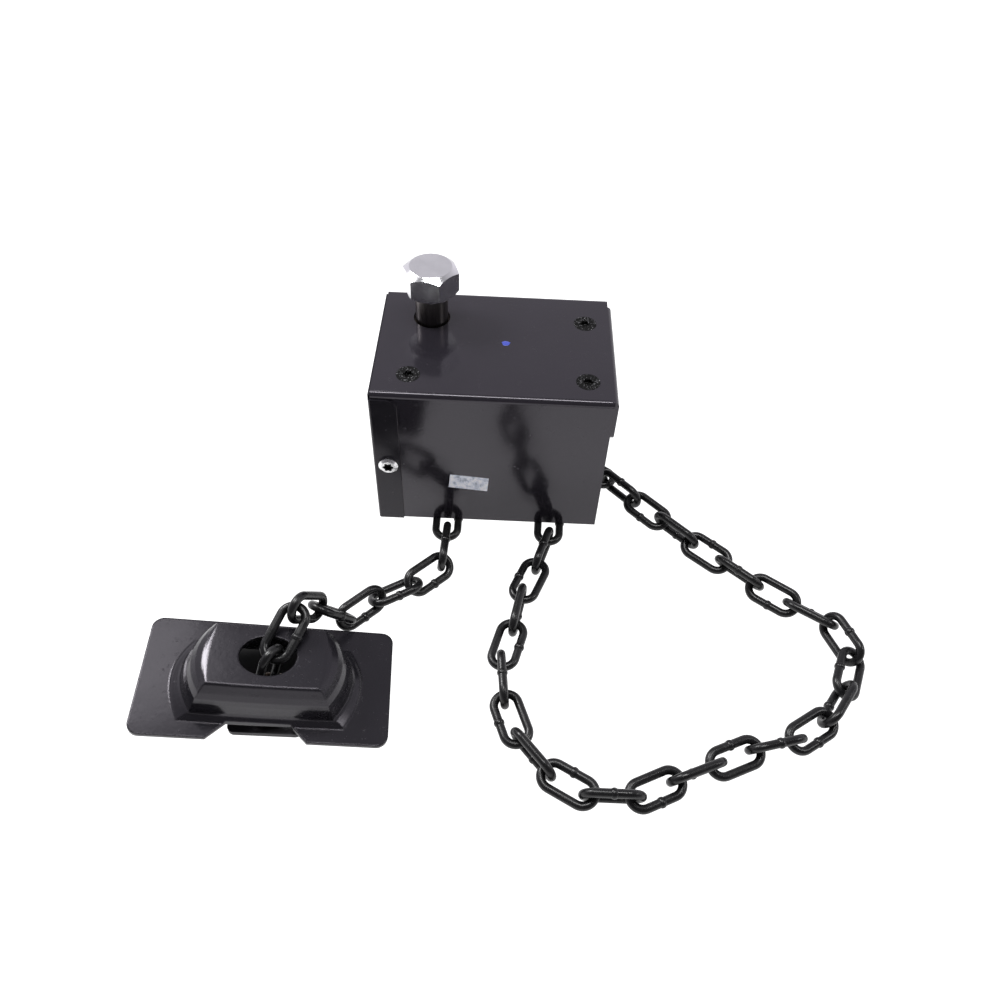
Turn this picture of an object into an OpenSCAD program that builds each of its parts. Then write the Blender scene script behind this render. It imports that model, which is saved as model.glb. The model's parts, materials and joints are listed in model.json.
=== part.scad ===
// Spare-wheel chain winch: sheet-steel housing, worm drive, pocket wheel, welded chain, retaining plate.
// Frame: origin at the centre of the four bolt holes on the back wall's outer face,
// x to the right, y towards the chassis, z up. Millimetres.

/* [Housing] */
// width of the box
housing_w = 170; // [150:1:200]
// depth of the box
housing_d = 120; // [110:1:140]
// height of the box
housing_h = 128; // [120:1:150]
// sheet thickness of the folded shell
shell_t = 3; // [2:0.5:4]
// sheet thickness of the left cover
cover_t = 1.5; // [1:0.5:2]
// how far the right flap hangs down
flap_drop = 38; // [20:1:60]
// how far the feet of the cheeks reach below the skirt
foot_drop = 14; // [13:1:20]

/* [Mounting] */
// bolt spacing across
bolt_dx = 110; // [80:1:130]
// bolt spacing up and down
bolt_dz = 70; // [50:1:90]
// radius of the bolt holes for M10
bolt_r = 5.2; // [4.2:0.1:6.5]

/* [Drive] */
// module of the worm gear
gear_m = 3; // [2:0.5:4]
// teeth of the worm wheel
gear_z = 29; // [25:1:35]
// pitch diameter of the worm
worm_d = 24; // [20:1:30]
// play between the teeth, measured at the pitch circle
backlash = 0.5; // [0.2:0.05:1]
// distance of the hex shaft from the centre, to the left
shaft_x = -47.5; // [-55:0.5:-40]
// diameter of the hex shaft
shaft_d = 24; // [20:1:28]
// width across the flats of the hex head
hex_af = 36; // [30:1:42]
// height of the hex head's underside above the top
hex_lift = 25; // [15:1:35]
// height of the hex head
hex_h = 19.5; // [15:0.5:25]
// radial play of the bearings
play = 0.05; // [0.02:0.01:0.1]

/* [Chain] */
// wire diameter of a link
wire = 6; // [5:0.5:8]
// inner length of a link
link_in = 31.5; // [28:0.5:36]
// inner width of a link
link_w = 11; // [9:0.5:14]
// distance from link to link where the slack chain lies on the ground
lay_step = 29.6; // [27:0.1:30]

/* [Retaining plate] */
// length of the plate
plate_l = 165; // [140:1:180]
// width of the plate
plate_w = 87; // [70:0.5:100]
// sheet thickness of the plate
plate_t = 3; // [2:0.5:4]
// height of the pressed dome
dome_h = 34.5; // [25:0.5:40]
// half width of the oval hole in the dome
dome_hole = 18.5; // [15:0.5:22]
// depth of the oval hole, as a part of its width
hole_flat = 0.8; // [0.7:0.01:1]

/* [Node] */
// which sub-part to show

/* [Hidden] */
$fn = 48;
front_y = -housing_d;
top_z = housing_h / 2;
skirt_z = -housing_h / 2;
floor_z = skirt_z - foot_drop;
half_w = housing_w / 2;
axle_x = 8;
axle_z = -10;
axle_r = 10;
// the worm drive stands off the back wall, the pocket wheel off the front wall
shaft_y = -32;
chain_y = front_y + 40;
// gap from the side walls to the frame inside, and faces of the back cheek
side_gap = 7;
back_y0 = -20;
back_y1 = -14;
// underside of the middle cheek
cheek_foot = -50;
// radius of the thrust collar and of the upper bush's flange, and room around them
collar_r = 18;
collar_room = 0.6;
// the last links swing with the right wall, so that the chain still ends behind it
loop_half_w = 85;
wall_swing = 0.47 * (loop_half_w - half_w);
// screw of the left cover
cover_screw_x = -half_w + 10.9;
cover_screw_z = -3.6;
rc = (link_w + wire) / 2;
hs = (link_in - link_w) / 2;
end_in = link_in / 2;
// seat of the links on the pocket wheel: flat and upright ones
seat_f = 36.1;
seat_v = 38.6;
wheel_r = 45;
wheel_w = 34;
lead = PI * gear_m;
plate_at = [-142.5, -151.2, 12.9];
plate_tilt = 9.1;
plate_yaw = 3.8;
flat_x = -31.5;
// points where the links of the load chain meet: x, y from the front wall, height above the ground
j89 = [-31.4, -10.1];
j78 = [-32.8, -42.3];
j67 = [-51.1, -59.9];
j56 = [-79.6, -77.4];
j45 = [-97, -94.6];
j45z = 10.5;
j34 = [-113.9, -106.2, 38.8];
j23 = [-121.6, -119.2, 56.9];
j12 = [-135, -151.2, 45];
j01 = [-141.4, -161.5, 23.7];
end_hook = [-134.4, -151, 45.4];
// the strands that hang from the pocket wheel
strand_r = seat_f;
strand_z = axle_z - end_in - wire / 2 - 2 - hs;
// turn of the slack chain at each link, first heading in slack_head
slack_from = [39.5, -40.2];
slack_head = -112;
slack_turn = [0, 11, -4, 20, 15, 20, 21, 29, 25, -2, 1, -9, 18, 21, 13, 44, 37, -3, -6, 1, -4, -1, -1, 10];

// ---- helpers

function at(p) = [p[0], front_y + p[1], floor_z + p[2]];
function mid(a, b) = (a + b) / 2;
function dir(a, b) = (b - a) / norm(b - a);

module box(x0, x1, y0, y1, z0, z1) {
  translate([x0, y0, z0]) cube([x1 - x0, y1 - y0, z1 - z0]);
}

// cylinder along y
module ycyl(r, y0, y1, x = 0, z = 0) {
  translate([x, y1, z]) rotate([90, 0, 0]) cylinder(r = r, h = y1 - y0);
}

// flat figure drawn in x and z, from y0 to y1
module yplate(y0, y1) {
  translate([0, y1, 0]) rotate([90, 0, 0]) linear_extrude(y1 - y0) children();
}

// six-lobed driver recess
module lobes(r, h) {
  linear_extrude(h) {
    circle(r = r * 0.82, $fn = 24);
    for (a = [0:60:300]) rotate(a) translate([r * 0.8, 0]) circle(r = r * 0.22, $fn = 14);
  }
}

// one welded link, long side along x, lying in the xy plane
module link() {
  for (s = [-1, 1]) {
    translate([-hs, s * rc, 0]) rotate([0, 90, 0]) cylinder(d = wire, h = 2 * hs);
    translate([s * hs, 0, 0]) rotate(s * 90 - 180) rotate_extrude(angle = 180) translate([rc, 0]) circle(d = wire);
  }
  translate([-1.1, rc, 0]) rotate([0, 90, 0]) cylinder(d = wire + 1, h = 2.2);
}

// a link whose ends bear at a and b; roll 0 lies flat, 90 stands on edge
module link_between(a, b, roll) {
  v = b - a;
  translate(mid(a, b)) rotate([roll, -asin(v[2] / norm(v)), atan2(v[1], v[0])]) link();
}

// height of a resting link's centre for its roll
function rest_h(roll) = max(wire / 2 + rc * abs(sin(roll)), wire / 2 + rc * abs(cos(roll)) - 2);

// a link lying on the ground between two plan points
module link_on_ground(a, b, roll) {
  link_between(at([a[0], a[1], rest_h(roll)]), at([b[0], b[1], rest_h(roll)]), roll);
}

// ---- housing

module channel_profile(t) {
  r = 4;
  difference() {
    union() {
      translate([front_y, skirt_z]) square([housing_d, housing_h - r]);
      translate([front_y + r, skirt_z]) square([housing_d - 2 * r, housing_h]);
      for (y = [front_y + r, -r]) translate([y, top_z - r]) circle(r = r);
    }
    translate([front_y + t, skirt_z - 1]) square([housing_d - 2 * t, housing_h - r + 1]);
    translate([front_y + r, skirt_z - 1]) square([housing_d - 2 * r, housing_h - t + 1]);
    for (y = [front_y + r, -r]) translate([y, top_z - r]) circle(r = r - t);
  }
}

module bolt_places() {
  for (x = [-1, 1], z = [-1, 1]) translate([x * bolt_dx / 2, 0, z * bolt_dz / 2]) children();
}

module top_screw_places() {
  for (p = [[-half_w + 26, 22], [half_w - 18, 22], [half_w - 18, 88]]) translate([p[0], front_y + p[1], top_z]) children();
}

module countersink(clear) {
  translate([0, 0, -4.4 - clear]) cylinder(r1 = 4, r2 = 8.4 + clear, h = 4.4 + clear);
  cylinder(r = 8.4 + clear, h = 1);
}

module housing_shell() {
  color([0.08, 0.08, 0.09]) difference() {
    union() {
      translate([-half_w + cover_t + 0.1, 0, 0]) rotate([90, 0, 90])
        linear_extrude(housing_w - cover_t - 0.1) channel_profile(shell_t);
      // flap folded down over the right wall
      box(half_w - 2, half_w - 1, front_y + 2, front_y + 110, top_z - shell_t, top_z);
      translate([half_w - 1, front_y + 110, top_z - 4]) rotate([90, 0, 0]) rotate_extrude_quarter();
      translate([half_w, front_y + 2, top_z - 4]) rotate([90, 0, 90]) linear_extrude(shell_t) difference() {
        translate([0, 4 - flap_drop]) square([108, flap_drop - 4]);
        translate([-1, 3 - flap_drop]) difference() { square([9, 9]); translate([9, 9]) circle(r = 8); }
        translate([101, 3 - flap_drop]) difference() { square([8, 8]); translate([0, 8]) circle(r = 7); }
      }
    }
    bolt_places() ycyl(bolt_r, -shell_t - 1, 1);
    top_screw_places() { countersink(0.15); translate([0, 0, -shell_t - 1]) cylinder(r = 4.3, h = shell_t + 1); }
    translate([shaft_x, shaft_y, top_z - shell_t - 1]) cylinder(r = shaft_d / 2 + 1.6, h = shell_t + 2);
    ycyl(3.3, front_y - 1, front_y + shell_t + 1, cover_screw_x, cover_screw_z);
  }
}

module rotate_extrude_quarter() {
  linear_extrude(108) intersection() {
    difference() { circle(r = 4); circle(r = 1); }
    square([5, 5]);
  }
}

module right_wall() {
  color([0.09, 0.09, 0.1]) difference() {
    box(half_w - 2.5, half_w, front_y + shell_t + 0.1, -shell_t - 0.1, skirt_z, top_z - shell_t - 1.1);
    for (z = [40, -20]) rotate([0, 90, 0]) translate([-z, front_y + 16, half_w - 3]) cylinder(r = 3.4, h = 4);
  }
}

module left_cover() {
  color([0.1, 0.1, 0.11]) difference() {
    union() {
      box(-half_w, -half_w + cover_t, front_y - cover_t + 2, -shell_t - 0.1, skirt_z, top_z - 2);
      translate([-half_w + 2, front_y - cover_t + 2, skirt_z]) linear_extrude(housing_h - 5) intersection() {
        difference() { circle(r = 2); circle(r = 0.5); }
        translate([-2, -2]) square(2);
      }
      yplate(front_y - cover_t, front_y) difference() {
        translate([-half_w + 2, skirt_z]) square([17.5, housing_h - 5]);
        translate([-half_w + 11.5, top_z - 13]) difference() { square([9, 9]); circle(r = 8); }
      }
      box(-half_w + cover_t, -half_w + 16, -shell_t - 0.1 - cover_t, -shell_t - 0.1, skirt_z, top_z - 6);
    }
    ycyl(3.3, front_y - 2, front_y + 1, cover_screw_x, cover_screw_z);
    box(-half_w - 1, -half_w + 3, front_y - cover_t - 1, front_y + 1, top_z - 5, top_z + 1);
  }
}

module cover_screw() {
  color([0.8, 0.8, 0.82]) translate([cover_screw_x, front_y - cover_t, cover_screw_z]) rotate([90, 0, 0]) difference() {
    union() {
      cylinder(r = 7.2, h = 1.8);
      translate([0, 0, 1.8]) cylinder(r1 = 7.2, r2 = 5.4, h = 1.5);
      translate([0, 0, -12]) cylinder(r = 3, h = 12);
    }
    translate([0, 0, 1]) lobes(3, 4);
  }
}

module top_screws() {
  color([0.12, 0.12, 0.13]) top_screw_places() difference() {
    union() {
      translate([0, 0, -4.4]) cylinder(r1 = 4, r2 = 8.4, h = 4.4);
      translate([0, 0, -11]) cylinder(r = 4, h = 7);
    }
    translate([0, 0, -2.6]) lobes(3.6, 4);
  }
}

// ---- frame inside

module carrier_plate() {
  color([0.35, 0.35, 0.37]) difference() {
    box(-half_w + side_gap, half_w - side_gap, front_y + 5, -5, top_z - shell_t - 8, top_z - shell_t);
    top_screw_places() { countersink(0.15); translate([0, 0, -20]) cylinder(r = 4.1, h = 20); }
    translate([shaft_x, shaft_y, top_z - 20]) cylinder(r = 16, h = 30);
  }
}

module front_cheek() {
  color([0.3, 0.3, 0.32]) difference() {
    yplate(chain_y - 24, chain_y - 18.5) difference() {
      translate([-half_w + side_gap, floor_z]) square([housing_w - 2 * side_gap, top_z - shell_t - 8 - floor_z]);
      translate([-half_w + side_gap + 24, floor_z - 1]) square([housing_w - 2 * side_gap - 32, 34]);
    }
    ycyl(13, chain_y - 30, chain_y, axle_x, axle_z);
    for (p = tie_places) ycyl(4.1, chain_y - 30, chain_y, p[0], p[1]);
  }
}

tie_places = [[-half_w + 14, 27], [half_w - 19, -20], [axle_x, 44]];

module middle_cheek() {
  color([0.3, 0.3, 0.32]) difference() {
    yplate(chain_y + 18, chain_y + 24) translate([-half_w + side_gap + 1, cheek_foot]) square([housing_w - 2 * side_gap - 5, top_z - shell_t - 8 - cheek_foot]);
    // the worm and its collar keep clear of this cheek
    translate([shaft_x, shaft_y, cheek_foot + 10.5]) cylinder(r = collar_r + collar_room, h = housing_h);
    ycyl(13, chain_y, chain_y + 30, axle_x, axle_z);
    for (p = tie_places) ycyl(4.1, chain_y, chain_y + 30, p[0], p[1]);
  }
}

module back_cheek() {
  color([0.3, 0.3, 0.32]) difference() {
    yplate(back_y0, back_y1) difference() {
      translate([-half_w + side_gap, floor_z]) square([housing_w - 2 * side_gap, top_z - shell_t - 8 - floor_z]);
      translate([-half_w + side_gap + 38, floor_z - 1]) square([housing_w - 2 * side_gap - 56, 18]);
      // room for the worm and its thrust collar
      translate([shaft_x - 15.5, -34]) square([31, top_z + 34]);
    }
    ycyl(13, -30, 0, axle_x, axle_z);
    for (p = tie_places) ycyl(4.1, -30, 0, p[0], p[1]);
  }
}

module bearing_bridge() {
  color([0.32, 0.32, 0.34]) difference() {
    box(shaft_x - 20.5, shaft_x + 17.5, chain_y + 24, back_y0, -48, -40);
    translate([shaft_x, shaft_y, -50]) cylinder(r = 9, h = 20);
  }
}

module upper_bush() {
  color([0.72, 0.5, 0.25]) translate([shaft_x, shaft_y, 0]) difference() {
    union() {
      translate([0, 0, top_z - shell_t - 8]) cylinder(r = 16, h = 8);
      translate([0, 0, top_z - shell_t - 11]) cylinder(r = collar_r, h = 3);
    }
    translate([0, 0, top_z - 20]) cylinder(r = shaft_d / 2 + play, h = 30);
  }
}

module lower_bush() {
  color([0.72, 0.5, 0.25]) translate([shaft_x, shaft_y, 0]) difference() {
    union() {
      translate([0, 0, -48]) cylinder(r = 9, h = 8);
      translate([0, 0, -40]) cylinder(r = 12, h = 2);
    }
    translate([0, 0, -50]) cylinder(r = 5 + play, h = 20);
  }
}

module axle_bushes() {
  color([0.72, 0.5, 0.25]) for (y = [[chain_y - 24, chain_y - 18.5], [chain_y + 18, chain_y + 24], [back_y0, back_y1]])
    difference() {
      ycyl(13, y[0], y[1], axle_x, axle_z);
      ycyl(axle_r + play, y[0] - 1, y[1] + 1, axle_x, axle_z);
    }
}

module tie_bolts() {
  color([0.5, 0.5, 0.52]) for (p = tie_places) {
    ycyl(4, chain_y - 24, back_y1 + 4, p[0], p[1]);
    translate([p[0], chain_y - 24, p[1]]) rotate([90, 0, 0]) cylinder(r = 7.5, h = 5, $fn = 6);
    translate([p[0], back_y1 + 4, p[1]]) rotate([90, 0, 0]) difference() { cylinder(r = 7.5, h = 4, $fn = 6); translate([0, 0, -1]) cylinder(r = 4, h = 6); }
    // distance tubes between the cheeks
    for (y = [[chain_y - 18.5, chain_y + 18], [chain_y + 24, back_y0]]) difference() {
      ycyl(6.5, y[0], y[1], p[0], p[1]);
      ycyl(4, y[0] - 1, y[1] + 1, p[0], p[1]);
    }
  }
}

module weld_nuts() {
  color([0.45, 0.45, 0.47]) bolt_places() difference() {
    translate([0, -shell_t, 0]) rotate([90, 0, 0]) cylinder(r = 9.6, h = 8, $fn = 6);
    ycyl(bolt_r, -shell_t - 9, 0);
  }
}

// dead end of the slack chain, at the right rear
slack_end = slack_point(len(slack_turn));
pin_at = slack_end + (end_in - lay_step / 2 - 4.4) * [cos(slack_heading(23)), sin(slack_heading(23))];

module chain_anchor() {
  color([0.3, 0.3, 0.32]) difference() {
    union() {
      box(pin_at[0] - 13, half_w - 2.5, front_y + pin_at[1] - 12, front_y + pin_at[1] + 12, skirt_z + 2, skirt_z + 7);
      box(pin_at[0] - 13, pin_at[0] - 9, front_y + pin_at[1] - 12, front_y + pin_at[1] + 12, skirt_z + 7, cheek_foot);
    }
    translate([pin_at[0], front_y + pin_at[1], skirt_z]) cylinder(r = 4, h = 10);
  }
}

module anchor_pin() {
  color([0.55, 0.55, 0.57]) translate([pin_at[0], front_y + pin_at[1], 0]) {
    translate([0, 0, floor_z + 4.5]) cylinder(r = 4, h = skirt_z + 7 - floor_z - 4.5);
    translate([0, 0, floor_z + 2.2]) cylinder(r = 8, h = 2.3);
    translate([0, 0, skirt_z + 7]) cylinder(r = 4.8, h = 3);
  }
}

// ---- worm shaft

module input_shaft() {
  color([0.75, 0.75, 0.78]) translate([shaft_x, shaft_y, 0]) {
    translate([0, 0, 12.2]) cylinder(d = shaft_d, h = top_z + hex_lift - 12.2);
    translate([0, 0, -50]) cylinder(r = 5, h = 63);
    // hex head with a chamfered, slightly domed top
    translate([0, 0, top_z + hex_lift]) rotate(51.2) intersection() {
      cylinder(d = hex_af / cos(30), h = hex_h, $fn = 6);
      union() {
        translate([0, 0, 0]) cylinder(r1 = hex_af / 2 * 1.04, r2 = hex_af / 2 * 1.16, h = 2.2);
        translate([0, 0, 2.2]) cylinder(r = hex_af / 2 * 1.16, h = hex_h - 6);
        translate([0, 0, hex_h - 3.8]) cylinder(r1 = hex_af / 2 * 1.16, r2 = hex_af / 2 * 0.89, h = 3.4);
        translate([0, 0, hex_h - 0.4]) cylinder(r1 = hex_af / 2 * 0.89, r2 = hex_af / 2 * 0.85, h = 0.4);
      }
    }
  }
}

// section of the single-start thread: radius against angle
function thread_r(s, rp, tp) = min(rp + gear_m, max(rp - 1.25 * gear_m, rp + (tp - s) / tan(20)));

module worm() {
  tp = lead / 4 - backlash / 4;
  a1 = (tp - gear_m * tan(20)) / lead * 360;
  a2 = (tp + 1.25 * gear_m * tan(20)) / lead * 360;
  steps = concat([for (i = [-2:2]) a1 * i / 2], [for (i = [1:7]) a1 + (a2 - a1) * i / 7],
    [for (i = [1:3]) a2 + (360 - 2 * a2) * i / 4], [for (i = [0:6]) 360 - a2 + (a2 - a1) * i / 7]);
  len_w = 44;
  color([0.6, 0.6, 0.62]) translate([shaft_x, shaft_y, axle_z]) difference() {
    union() {
      intersection() {
        translate([0, 0, -len_w / 2]) 
          linear_extrude(len_w, twist = -360 * len_w / lead, slices = 72, convexity = 8)
            rotate(-180 * len_w / lead)
            polygon([for (a = steps) thread_r(abs(a > 180 ? a - 360 : a) / 360 * lead, worm_d / 2, tp) * [cos(a), sin(a)]]);
        translate([0, 0, -len_w / 2]) cylinder(r = worm_d / 2 + gear_m + 1, h = len_w, $fn = 32);
      }
    }
    translate([0, 0, -30]) cylinder(r = 5, h = 60);
  }
}

module thrust_collar() {
  color([0.5, 0.5, 0.52]) translate([shaft_x, shaft_y, top_z - shell_t - 16.2]) difference() {
    cylinder(r = collar_r, h = 5);
    translate([0, 0, -1]) cylinder(r = shaft_d / 2, h = 8);
  }
}

module thrust_washer() {
  color([0.72, 0.5, 0.25]) translate([shaft_x, shaft_y, -38]) difference() {
    cylinder(r = 11, h = 5.8);
    translate([0, 0, -1]) cylinder(r = 5 + play, h = 8);
  }
}

// ---- wheel shaft

module axle() {
  color([0.6, 0.6, 0.62]) difference() {
    ycyl(axle_r, chain_y - 28, -10, axle_x, axle_z);
    for (y = [chain_y, shaft_y]) box(axle_x - 3, axle_x + 3, y - 9, y + 9, axle_z + 7.5, axle_z + 12);
  }
}

module chain_wheel() {
  color([0.4, 0.4, 0.42]) difference() {
    ycyl(wheel_r, chain_y - wheel_w / 2, chain_y + wheel_w / 2, axle_x, axle_z);
    translate([axle_x, chain_y + 3.6, axle_z]) rotate([90, 0, 0]) difference() {
      cylinder(r = wheel_r + 1, h = 7.2);
      translate([0, 0, -1]) cylinder(r = 23.5, h = 10);
    }
    for (a = [0:90:270]) translate([axle_x, chain_y, axle_z]) rotate([0, a, 0]) translate([0, 0, seat_f - wire / 2 - 0.35]) {
      for (s = [-1, 1]) translate([s * (hs + 0.4), 0, 0]) cylinder(r = rc + wire / 2 + 0.4, h = 20);
      translate([-hs, -rc - wire / 2 - 0.4, 0]) cube([2 * hs, 2 * rc + wire + 0.8, 20]);
    }
    ycyl(axle_r, chain_y - 30, chain_y + 30, axle_x, axle_z);
    box(axle_x - 3, axle_x + 3, chain_y - 9, chain_y + 9, axle_z, axle_z + 12);
  }
}

function inv_x(r, rb) = sqrt(r * r / rb / rb - 1);
// half angle of a tooth at radius r, for the tooth thickness at the pitch circle
function tooth_half(r, rp, rb, half_p) =
  let (ip = inv_x(rp, rb), ir = r > rb ? inv_x(r, rb) : 0)
  half_p + (ip * 180 / PI - atan(ip)) - (ir * 180 / PI - atan(ir));

module worm_wheel() {
  rp = gear_m * gear_z / 2;
  rb = rp * cos(20);
  ra = rp + gear_m;
  rf = rp - 1.25 * gear_m;
  hp = 90 / gear_z - backlash / 4 / rp * 180 / PI * 1.6;
  radii = [rf, rb + 0.15, rb + 1.4, rp + 0.3, rp + 1.8, ra];
  face = 20;
  tw = face * tan(atan(gear_m / worm_d)) / rp * 180 / PI;
  color([0.7, 0.55, 0.3]) difference() {
    translate([axle_x, shaft_y + face / 2, axle_z]) rotate([90, 0, 0]) rotate(-tw / 2)
      linear_extrude(face, twist = -tw, slices = 3, convexity = 8)
        polygon([for (k = [0:gear_z - 1]) let (c = k * 360 / gear_z) each concat(
          [for (r = radii) r * [cos(c - tooth_half(r, rp, rb, hp)), sin(c - tooth_half(r, rp, rb, hp))]],
          [for (i = [5:-1:0]) let (r = radii[i]) r * [cos(c + tooth_half(r, rp, rb, hp)), sin(c + tooth_half(r, rp, rb, hp))]])]);
    for (s = [-1, 1]) translate([axle_x, shaft_y + s * 10, axle_z]) rotate([90, 0, 0]) difference() {
      translate([0, 0, -5]) cylinder(r = 34, h = 10);
      translate([0, 0, -6]) cylinder(r = 17, h = 12);
    }
    ycyl(axle_r, shaft_y - 15, shaft_y + 15, axle_x, axle_z);
    box(axle_x - 3, axle_x + 3, shaft_y - 9, shaft_y + 9, axle_z, axle_z + 12);
  }
}

module axle_keys() {
  color([0.5, 0.5, 0.52]) for (y = [chain_y, shaft_y])
    box(axle_x - 3, axle_x + 3, y - 9, y + 9, axle_z + 7.5, axle_z + 12);
}

module spacer_sleeve() {
  color([0.5, 0.5, 0.52]) for (y = [[chain_y + 24.3, shaft_y - 10], [chain_y + 17, chain_y + 17.8]]) difference() {
    ycyl(13.5, y[0], y[1], axle_x, axle_z);
    ycyl(axle_r, y[0] - 1, y[1] + 1, axle_x, axle_z);
  }
}

module axle_circlips() {
  color([0.35, 0.35, 0.37]) for (y = [chain_y - 26, -13.6]) difference() {
    ycyl(13, y, y + 1.6, axle_x, axle_z);
    ycyl(axle_r, y - 1, y + 3, axle_x, axle_z);
  }
}

// a point on the wheel at angle a from the top, clockwise, at radius r
function wheel_pt(a, r) = [axle_x + r * sin(a), chain_y, axle_z + r * cos(a)];

module wrapped_links() {
  color([0.07, 0.07, 0.08]) for (i = [0:4]) {
    a = -90 + 45 * i;
    flat = i % 2 == 0;
    c = wheel_pt(a, flat ? seat_f : seat_v);
    t = [cos(a), 0, -sin(a)];
    translate(c) rotate([0, a, 0]) rotate([flat ? 0 : 90, 0, 0]) link();
  }
}

// ---- strands

module strand_link(x) {
  translate([x, chain_y, strand_z]) rotate([0, 90, 0]) rotate([90, 0, 0]) link();
}

module load_strand_link() { color([0.07, 0.07, 0.08]) strand_link(axle_x - strand_r); }
module slack_strand_link() { color([0.07, 0.07, 0.08]) strand_link(axle_x + strand_r); }

// lower wire of a strand link and the rear wire of the flat link in front of it
strand_low = strand_z - hs - rc;
rear_y = 3 + hs + rc;
// how much higher the rear end of a flat ground link lies
heel = 1.7;
rear_z = rest_h(0) + heel * (0.5 + (hs + rc) / link_in);
// where a lift link bears on the rear crown of its flat link, plan heading h
function lift_foot(x, h) = [x + rc * sin(h), front_y + 3 + hs + rc * cos(h), floor_z + rear_z];
load_lift_h = 7;
slack_lift_h = -11.5;

module lift_link(x, h, xs) {
  f = lift_foot(x, h);
  w = [xs, chain_y, strand_low];
  v = dir(f, w);
  c = f + (hs + 1.8) * v;
  link_between(c - end_in * v, c + end_in * v, 90);
}

module load_lift_link() { color([0.07, 0.07, 0.08]) lift_link(flat_x, load_lift_h, axle_x - strand_r); }
module slack_lift_link() { color([0.07, 0.07, 0.08]) lift_link(49.4, slack_lift_h, axle_x + strand_r); }

// ---- load chain, from the wall to the retaining plate

// flat link that lies under the front wall, its rear end lifted by the chain behind it
module door_link(xr, xf) {
  link_between(at([xr, 3 + end_in, rest_h(0) + heel]), at([xf, 3 - end_in, rest_h(0)]), 0);
}

module load_link_9() { color([0.07, 0.07, 0.08]) door_link(flat_x, flat_x); }
module load_link_8() { color([0.07, 0.07, 0.08]) link_on_ground(j89, j78, 83); }
module load_link_7() { color([0.07, 0.07, 0.08]) link_on_ground(j78, j67, -38); }
module load_link_6() { color([0.07, 0.07, 0.08]) link_on_ground(j67, j56, 29); }
module load_link_5() { color([0.07, 0.07, 0.08]) link_on_ground(j56, j45, -64); }
module load_link_4() { color([0.07, 0.07, 0.08]) link_between(at([j45[0], j45[1], j45z]), at(j34), 26); }
module load_link_3() { color([0.07, 0.07, 0.08]) link_between(at(j34), at(j23), -84); }
module load_link_2() { color([0.07, 0.07, 0.08]) link_between(at(j23), at(j12), -9); }
module load_link_1() { color([0.07, 0.07, 0.08]) link_between(at(end_hook), at(j01), 86); }

// ---- slack chain: a loop on the ground, out of the right doorway and back under the right wall

function slack_heading(i) = i == 0 ? slack_head : slack_heading(i - 1) + slack_turn[i] + (i == 18 ? wall_swing : 0);
function slack_point(i) = i == 0 ? slack_from
  : slack_point(i - 1) + lay_step * [cos(slack_heading(i - 1)), sin(slack_heading(i - 1))];
// the chain twists once by a quarter turn on its way round
function slack_twist(i) = i < 19 ? max(0, (i - 3.5) * 2) : min(90, 45 + (i - 18.5) * 6);
function slack_roll(i) = 90 * (i - 1) + slack_twist(i);

module slack_link(i) {
  if (i == 1) door_link(49.6, 48.4);
  if (i == 2) link_on_ground([48.3, 3.3 - end_in], slack_from, slack_roll(2));
  if (i > 2) link_on_ground(slack_point(i - 3), slack_point(i - 2), slack_roll(i));
}

module slack_chain_out() { color([0.07, 0.07, 0.08]) for (i = [1:9]) slack_link(i); }
module slack_chain_bend() { color([0.07, 0.07, 0.08]) for (i = [10:18]) slack_link(i); }
module slack_chain_back() { color([0.07, 0.07, 0.08]) for (i = [19:26]) slack_link(i); }

// ---- what hangs the plate on the chain

eye_v = dir(at(j01), at(end_hook));
eye_top = at(j01) + 3.5 * eye_v;
eye_h = atan2(end_hook[1] - j01[1], end_hook[0] - j01[0]);
eye_ring = 8;

module eye_bolt() {
  color([0.3, 0.3, 0.32]) translate([eye_top[0], eye_top[1], 0]) {
    translate([0, 0, eye_top[2] - eye_ring]) rotate(eye_h) rotate([0, 90, 0]) rotate_extrude() translate([eye_ring, 0]) circle(d = wire);
    translate([0, 0, floor_z + 0.5]) cylinder(r = 5.5, h = eye_top[2] - 2 * eye_ring - floor_z + 0.5);
  }
}

module spring_seat() {
  color([0.35, 0.35, 0.37]) difference() {
    translate([eye_top[0], eye_top[1] - 2, floor_z]) linear_extrude(4) {
      square([50, 34], center = true);
      square([40, 44], center = true);
      for (x = [-20, 20], y = [-17, 17]) translate([x, y]) circle(r = 5);
    }
    translate([eye_top[0], eye_top[1], floor_z - 1]) cylinder(r = 5.6, h = 6);
  }
}

// round wire bent to a helix, with closed ends
module coil(r, d, pitch, turns, n = 20, m = 10) {
  k = round(n * turns);
  pts = [for (i = [0:k]) let (a = i * 360 / n) for (j = [0:m - 1]) let (b = j * 360 / m)
    [(r + d / 2 * cos(b)) * cos(a), (r + d / 2 * cos(b)) * sin(a), d / 2 + pitch * i / n + d / 2 * sin(b)]];
  faces = concat([[for (j = [0:m - 1]) j]], [[for (j = [m - 1:-1:0]) k * m + j]],
    [for (i = [0:k - 1]) for (j = [0:m - 1]) let (q = (j + 1) % m) [i * m + j, (i + 1) * m + j, (i + 1) * m + q, i * m + q]]);
  polyhedron(pts, faces, convexity = 6);
}

module buffer_spring() {
  color([0.4, 0.3, 0.25]) translate([eye_top[0], eye_top[1], floor_z + 4]) coil(17.5, 2.8, 3, 1.5);
}

// ---- retaining plate

// closed outline of the dome at one level: half depth b, half width at the corners uc and in the middle ua
ns = 16;
nb = 14;
function side_u(uc, ua, t) = uc + (ua - uc) * (1 - t * t);
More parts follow.
